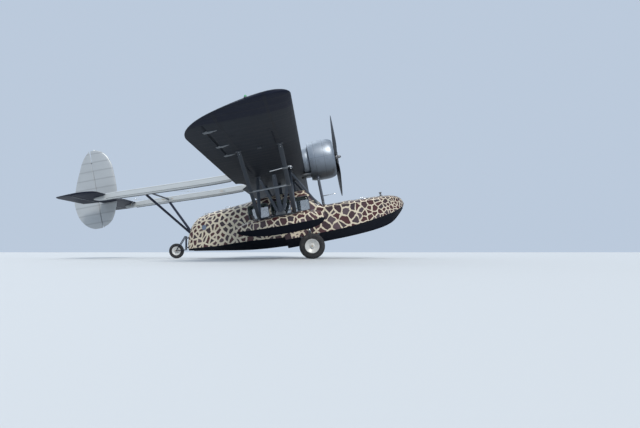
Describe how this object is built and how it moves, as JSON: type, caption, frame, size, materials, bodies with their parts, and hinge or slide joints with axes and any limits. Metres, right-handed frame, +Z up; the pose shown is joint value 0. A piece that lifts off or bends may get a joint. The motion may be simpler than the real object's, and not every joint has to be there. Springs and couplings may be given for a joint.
{
  "type": "flying boat",
  "caption": "Amphibious flying boat with a high wing on struts, one ring-cowled radial engine above the hull, twin tail booms, two side floats and a wheeled gear.",
  "frame": {"origin": "on the floor under the middle of the parked machine, z = 0 where the tyres stand", "axes": "+X towards the nose, +Y towards the left wing tip, +Z up"},
  "size_m": [9.9524, 15.85, 4.1807],
  "materials": {
    "hide_paint": "satin, brown animal-hide pattern over black bottom",
    "window_glass": "clear",
    "floor_ply": "varnished plywood",
    "seat_leather": "soft",
    "dark_steel": "dark satin",
    "wing_charcoal": "satin",
    "engine_aluminium": "brushed",
    "blade_metal": "satin",
    "silver_paint": "satin silver",
    "strut_navy": "satin",
    "tail_navy": "satin",
    "strut_grey": "satin",
    "wheel_disc": "satin",
    "tyre_rubber": "matt"
  },
  "bodies": {
    "airframe": {"hull_bow": "hide_paint", "hull_stern": "hide_paint", "hull_tub": "hide_paint", "cabin_top": "hide_paint", "side_glass_right": "window_glass", "side_glass_left": "window_glass", "windscreen": "window_glass", "cabin_floor": "floor_ply", "front_seat_right": "seat_leather", "front_seat_left": "seat_leather", "rear_bench": "seat_leather", "instrument_panel": "dark_steel", "control_column": "dark_steel", "wing_centre": "wing_charcoal", "wing_right": "wing_charcoal", "wing_left": "wing_charcoal", "nacelle": "engine_aluminium", "engine_cowl": "engine_aluminium", "engine": "dark_steel", "boom_right": "silver_paint", "boom_left": "silver_paint", "boom_cross_tube": "strut_navy", "stern_strut_right": "strut_navy", "stern_strut_left": "strut_navy", "stabilizer": "tail_navy", "fin": "silver_paint", "float_right": "hide_paint", "float_left": "hide_paint", "outrigger_right": "strut_grey", "outrigger_left": "strut_grey", "float_strut_front_right": "strut_grey", "float_strut_front_left": "strut_grey", "float_strut_rear_right": "strut_grey", "float_strut_rear_left": "strut_grey", "lift_struts_right": "strut_grey", "lift_struts_left": "strut_grey", "cabane_right": "strut_grey", "cabane_left": "strut_grey", "engine_strut_left": "strut_grey", "engine_strut_right": "strut_grey", "gear_leg_right": "strut_grey", "gear_leg_left": "strut_grey", "mooring_post": "dark_steel"},
    "aileron_left": {"aileron_left": "wing_charcoal"},
    "aileron_right": {"aileron_right": "wing_charcoal"},
    "elevator_left": {"elevator_left": "tail_navy"},
    "elevator_right": {"elevator_right": "tail_navy"},
    "rudder": {"rudder": "silver_paint"},
    "propeller": {"propeller": "blade_metal"},
    "entry_hatch": {"entry_hatch": "hide_paint"},
    "main_wheel_left": {"wheel_left": "wheel_disc", "tyre_left": "tyre_rubber"},
    "main_wheel_right": {"wheel_right": "wheel_disc", "tyre_right": "tyre_rubber"},
    "tail_fork": {"tail_fork": "dark_steel"},
    "tail_wheel": {"tail_wheel": "wheel_disc", "tail_tyre": "tyre_rubber"}
  },
  "joints": [
    {"name": "propeller_spin", "type": "hinge", "parent": "airframe", "child": "propeller", "pos_m": [2.94385, 0, 3.06634], "axis": [0.9838, 0, 0.1792], "continuous": true},
    {"name": "aileron_left_hinge", "type": "hinge", "parent": "airframe", "child": "aileron_left", "pos_m": [0.37331, 4.35, 2.36285], "axis": [-0.0031, 0.9998, 0.0172], "range_deg": [-20, 20]},
    {"name": "aileron_right_hinge", "type": "hinge", "parent": "airframe", "child": "aileron_right", "pos_m": [0.37331, -4.35, 2.36285], "axis": [0.0031, 0.9998, -0.0172], "range_deg": [-20, 20]},
    {"name": "elevator_left_hinge", "type": "hinge", "parent": "airframe", "child": "elevator_left", "pos_m": [-4.14088, 0.29, 1.69938], "axis": [0, 1, 0], "range_deg": [-22, 25]},
    {"name": "elevator_right_hinge", "type": "hinge", "parent": "airframe", "child": "elevator_right", "pos_m": [-4.14088, -0.29, 1.69938], "axis": [0, 1, 0], "range_deg": [-22, 25]},
    {"name": "rudder_hinge", "type": "hinge", "parent": "airframe", "child": "rudder", "pos_m": [-4.2383, 0, 1.50884], "axis": [-0.1792, 0, 0.9838], "range_deg": [-25, 25]},
    {"name": "entry_hatch_hinge", "type": "hinge", "parent": "airframe", "child": "entry_hatch", "pos_m": [-0.00929, 0.33, 1.56167], "axis": [-0.9838, 0, -0.1792], "range_deg": [0, 100]},
    {"name": "main_wheel_left_spin", "type": "hinge", "parent": "airframe", "child": "main_wheel_left", "pos_m": [2.23239, 1.25, 0.36], "axis": [0, 1, 0], "continuous": true},
    {"name": "main_wheel_right_spin", "type": "hinge", "parent": "airframe", "child": "main_wheel_right", "pos_m": [2.23239, -1.25, 0.36], "axis": [0, 1, 0], "continuous": true},
    {"name": "tail_fork_swivel", "type": "hinge", "parent": "airframe", "child": "tail_fork", "pos_m": [-1.60438, 0, 0.46401], "axis": [0, 0, 1], "range_deg": [-30, 30]},
    {"name": "tail_wheel_spin", "type": "hinge", "parent": "tail_fork", "child": "tail_wheel", "pos_m": [-1.89525, 0, 0.225], "axis": [0, 1, 0], "continuous": true}
  ],
  "couplings": [
    {"joint": "aileron_right_hinge", "follows": "aileron_left_hinge", "ratio": -1},
    {"joint": "elevator_right_hinge", "follows": "elevator_left_hinge", "ratio": 1}
  ]
}
